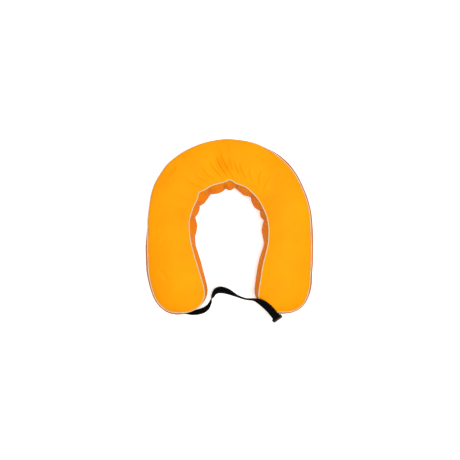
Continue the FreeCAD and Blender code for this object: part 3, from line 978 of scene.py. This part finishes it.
# The tail's route from the leg's end wall: x, distance out from the wall, height and turn.
TAIL_ROUTE = [
    (0.1550, 0.00135, 0.060, 0.0), (0.1550, 0.00135, 0.051, 0.0), (0.1550, 0.00135, 0.042, 0.0),
    (0.1555, 0.0030, 0.033, 0.04), (0.1577, 0.0068, 0.0262, 0.18), (0.1613, 0.0116, 0.0228, 0.36),
    (0.1651, 0.0173, 0.0230, 0.52), (0.1675, 0.0218, 0.0270, 0.65), (0.1685, 0.0242, 0.0335, 0.72),
]


def make_tail():
    """Short webbing from the right leg's end wall round the socket's bar."""
    wall = TIP_Y - 0.013
    route = [np.array((x, wall - out, z)) for x, out, z, _ in TAIL_ROUTE]
    widths = [np.array((1.0, turn, 0.0)) / math.hypot(1.0, turn) for _, _, _, turn in TAIL_ROUTE]
    route += [on_buckle(0, -TAIL_WRAP_R, SOCKET_END + 0.005),
              on_buckle(0, -TAIL_WRAP_R, SOCKET_END)]
    widths += [BUCKLE_WIDE] * 2
    centres = list(nurbs_points(route, 6))
    beside = nurbs_points([p + w * BESIDE for p, w in zip(route, widths)], 6)
    across = list(beside - np.array(centres))
    for k in range(1, 13):
        a = math.pi - math.pi * k / 12
        centres.append(on_buckle(0, TAIL_WRAP_R * math.cos(a),
                                 SOCKET_END - TAIL_WRAP_R * math.sin(a)))
        across.append(BUCKLE_WIDE * BESIDE)
    centres.append(on_buckle(0, TAIL_WRAP_R, SOCKET_END + 0.004))
    centres.append(on_buckle(0, TAIL_WRAP_R, SOCKET_END + 0.009))
    across += [BUCKLE_WIDE * BESIDE] * 2
    piece = webbing_piece("buckle_tail_web", centres, across)
    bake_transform(piece)
    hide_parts("buckle_tail")


make_tail()


# ================================================================ sewn patches
THREAD_R = 0.00032
STITCH = 0.0034                     # length of a stitch and its gap
STITCH_INSET = 0.0035               # from a patch's edge to its box of thread


def make_patch(name, node, low, high, body, strap_side):
    """A reinforcing patch with soft corners and a box-and-cross of thread.

    Its edge lies down on the wall, but on the strap where the strap comes out."""
    x0, _, z0 = low
    x1, _, z1 = high
    y_face = low[1]
    corner = 0.003
    ring = []
    for cx, cz, start in ((x1 - corner, z1 - corner, 0), (x0 + corner, z1 - corner, 90),
                          (x0 + corner, z0 + corner, 180), (x1 - corner, z0 + corner, 270)):
        for k in range(5):
            a = math.radians(start + 22.5 * k)
            ring.append((cx + corner * math.cos(a), cz + corner * math.sin(a)))
    middle = ((x0 + x1) / 2, (z0 + z1) / 2)
    half = ((x1 - x0) / 2, (z1 - z0) / 2)
    n = len(ring)
    points, faces = [], []
    for grow, drop in ((0.0006, 1.0), (0.0006, 0.85), (-0.0004, 0.35), (-0.0016, 0.08),
                       (-0.0040, 0.0), (-0.0080, 0.0)):
        for x, z in ring:
            out_x = (x - middle[0]) / half[0]
            lie = drop
            if strap_side * out_x > 0.72 and abs(z - middle[1]) < 0.0135:
                lie = min(drop, 0.30)
            points.append((x + grow * out_x, y_face + (END_WALL_Y - y_face) * lie,
                           z + grow * (z - middle[1]) / half[1]))
    for layer in range(5):
        for i in range(n):
            j = (i + 1) % n
            faces.append((layer * n + i, layer * n + j, (layer + 1) * n + j, (layer + 1) * n + i))
    faces.append(tuple(range(5 * n, 6 * n)))
    faces.append(tuple(reversed(range(n))))
    # The patch takes the side wall's cloth, with its painted shade.
    patch = new_piece(name, points, faces, SHADED_GUSSET)
    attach(patch, body)
    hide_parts(node)
    a = (x0 + STITCH_INSET, z0 + STITCH_INSET)
    b = (x1 - STITCH_INSET, z0 + STITCH_INSET)
    c = (x1 - STITCH_INSET, z1 - STITCH_INSET)
    d = (x0 + STITCH_INSET, z1 - STITCH_INSET)
    thread_points, thread_faces = [], []
    for start, end in ((a, b), (b, c), (c, d), (d, a), (a, c), (b, d)):
        s, e = np.array(start), np.array(end)
        count = max(3, round(np.linalg.norm(e - s) / STITCH))
        for k in range(count):
            p = s + (e - s) * (k + 0.12) / count
            q = s + (e - s) * (k + 0.88) / count
            m = (p + q) / 2
            line = [(p[0], y_face + 0.0001, p[1]), (m[0], y_face - 0.0005, m[1]),
                    (q[0], y_face + 0.0001, q[1])]
            more, rings = tube(line, THREAD_R, 6, False)
            base = len(thread_points)
            thread_points += more
            thread_faces += [tuple(base + i for i in f) for f in rings]
    thread = new_piece(name + "_thread", thread_points, thread_faces, PIPING)
    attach(thread, body)


make_patch("strap_patch_cloth", "strap_anchor_patch", *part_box("strap_anchor_patch"), "left_half", 1)
make_patch("tail_patch_cloth", "tail_anchor_patch", *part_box("tail_anchor_patch"), "right_half", 0)

# ================================================================ buckle
for node in ("buckle_male_frame", "buckle_prong_left", "buckle_prong_right", "buckle_female"):
    obj = frame["nodes"][node]
    obj.data.materials.clear()
    obj.data.materials.append(PLASTIC)


# ================================================================ stage, light, camera
def make_stage():
    size = 6.0
    points = [(-size, -size, -0.0006), (size, -size, -0.0006), (size, size, -0.0006),
              (-size, size, -0.0006)]
    material, tree, shader = node_material("pale_floor")
    shader.inputs["Base Color"].default_value = (0.85, 0.85, 0.85, 1)
    shader.inputs["Emission Color"].default_value = (1, 1, 1, 1)
    shader.inputs["Emission Strength"].default_value = 0.34
    shader.inputs["Roughness"].default_value = 0.9
    shader.inputs["Specular IOR Level"].default_value = 0.1
    new_piece("floor", points, [(0, 1, 2, 3)], material)


def area_light(name, place, target, size, power):
    data = bpy.data.lights.new(name, "AREA")
    data.shape = "SQUARE"
    data.size = size
    data.energy = power
    lamp = bpy.data.objects.new(name, data)
    lamp.location = place
    aim = Vector(target) - Vector(place)
    lamp.rotation_euler = aim.to_track_quat("-Z", "Y").to_euler()
    bpy.context.scene.collection.objects.link(lamp)


def make_light():
    area_light("overhead", (0.52, -0.02, 2.4), (0, 0, 0), 1.7, 71)
    area_light("side", (-1.8, 0.9, 1.5), (0, 0, 0.05), 1.4, 7)
    world = bpy.data.worlds.new("studio")
    world.use_nodes = True
    world.node_tree.nodes["Background"].inputs["Color"].default_value = (1, 1, 1, 1)
    world.node_tree.nodes["Background"].inputs["Strength"].default_value = 0.41
    bpy.context.scene.world = world
    bpy.context.scene.view_settings.view_transform = "Standard"
    bpy.context.scene.view_settings.look = "None"


CAMERA_HEIGHT = 1.20
FLOOR_WIDTH = 1.6675        # how much of the floor the picture is across


def make_camera():
    data = bpy.data.cameras.new("camera")
    data.sensor_width = 36.0
    data.lens = data.sensor_width * CAMERA_HEIGHT / FLOOR_WIDTH
    camera = bpy.data.objects.new("camera", data)
    camera.location = (0.0007, -0.0145, CAMERA_HEIGHT)
    bpy.context.scene.collection.objects.link(camera)
    bpy.context.scene.camera = camera


make_stage()
make_light()
make_camera()
